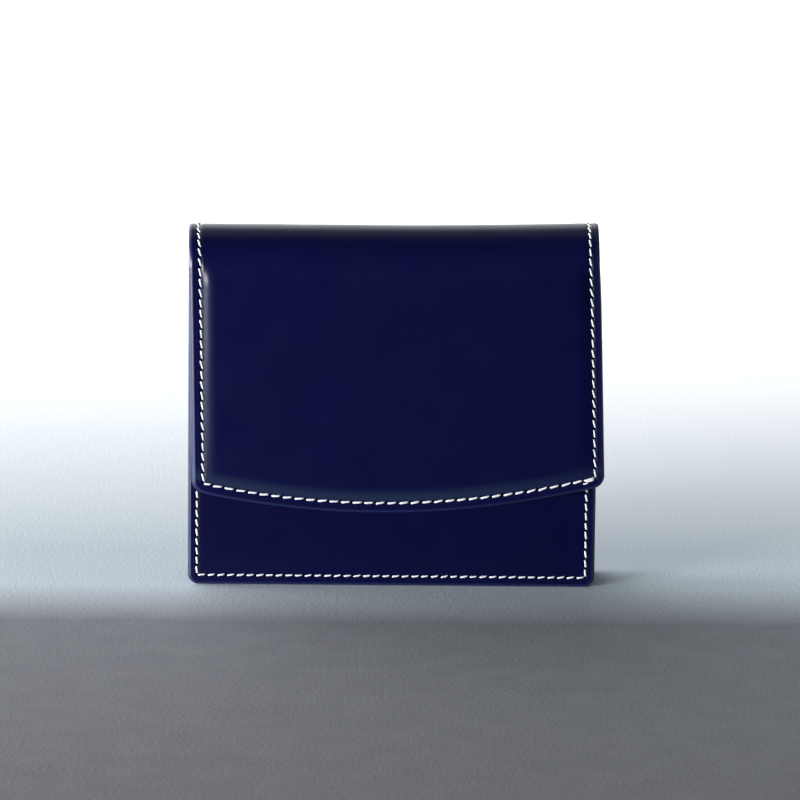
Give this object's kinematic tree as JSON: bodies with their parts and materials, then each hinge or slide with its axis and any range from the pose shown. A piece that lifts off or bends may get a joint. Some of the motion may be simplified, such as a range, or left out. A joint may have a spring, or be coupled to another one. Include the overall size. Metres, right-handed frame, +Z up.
{
  "type": "flap wallet",
  "caption": "Compact upright leather wallet with a stitched flap over the top and front, card pockets and gusseted compartments inside.",
  "frame": {"origin": "centre of the wallet's box on the plane that it stands on", "axes": "the flap faces -Y, +Z is up, +X is to the right as seen from the front"},
  "size_m": [0.1096, 0.0248, 0.0977],
  "materials": {
    "navy_leather": "smooth dark navy leather, semi-matt, painted edges",
    "navy_lining": "thin matt navy lining leather",
    "white_thread": "waxed white twisted thread",
    "fibre_board": "matt bonded leather board",
    "foam_sheet": "thin dense foam sheet",
    "magnet": "nickel-plated magnet disc"
  },
  "bodies": {
    "body": {"back_panel": "navy_leather", "back_lining": "navy_lining", "base_strip": "navy_leather", "divider_panel": "navy_leather", "card_pocket_1": "navy_leather", "card_pocket_2": "navy_leather", "card_pocket_3": "navy_leather", "card_pocket_4": "navy_leather", "card_pocket_thread": "white_thread", "back_seam_thread": "white_thread", "rear_gusset_left": "navy_leather", "rear_gusset_right": "navy_leather", "front_gusset_left": "navy_leather", "front_gusset_right": "navy_leather"},
    "front": {"front_panel": "navy_leather", "front_stiffener": "fibre_board", "front_magnet": "magnet", "front_lining": "navy_lining", "front_seam_thread": "white_thread"},
    "fold": {"top_fold": "navy_leather", "top_fold_lining": "navy_lining", "fold_thread_left": "white_thread", "fold_thread_right": "white_thread"},
    "flap": {"flap_panel": "navy_leather", "flap_padding": "foam_sheet", "flap_magnet": "magnet", "flap_lining": "navy_lining", "flap_seam_thread": "white_thread"}
  },
  "joints": [
    {"name": "top_fold_hinge", "type": "hinge", "parent": "body", "child": "fold", "pos_m": [0, 0.00982, 0.09507], "axis": [-1, 0, 0], "range_deg": [0, 90]},
    {"name": "flap_hinge", "type": "hinge", "parent": "fold", "child": "flap", "pos_m": [0, -0.00982, 0.09507], "axis": [-1, 0, 0], "range_deg": [0, 100]},
    {"name": "front_panel_hinge", "type": "hinge", "parent": "body", "child": "front", "pos_m": [0, -0.00745, 0], "axis": [1, 0, 0], "range_deg": [0, 9], "deforming": ["front_gusset_left", "front_gusset_right"]}
  ],
  "couplings": [
    {"joint": "front_panel_hinge", "follows": "flap_hinge", "ratio": 0.09}
  ]
}
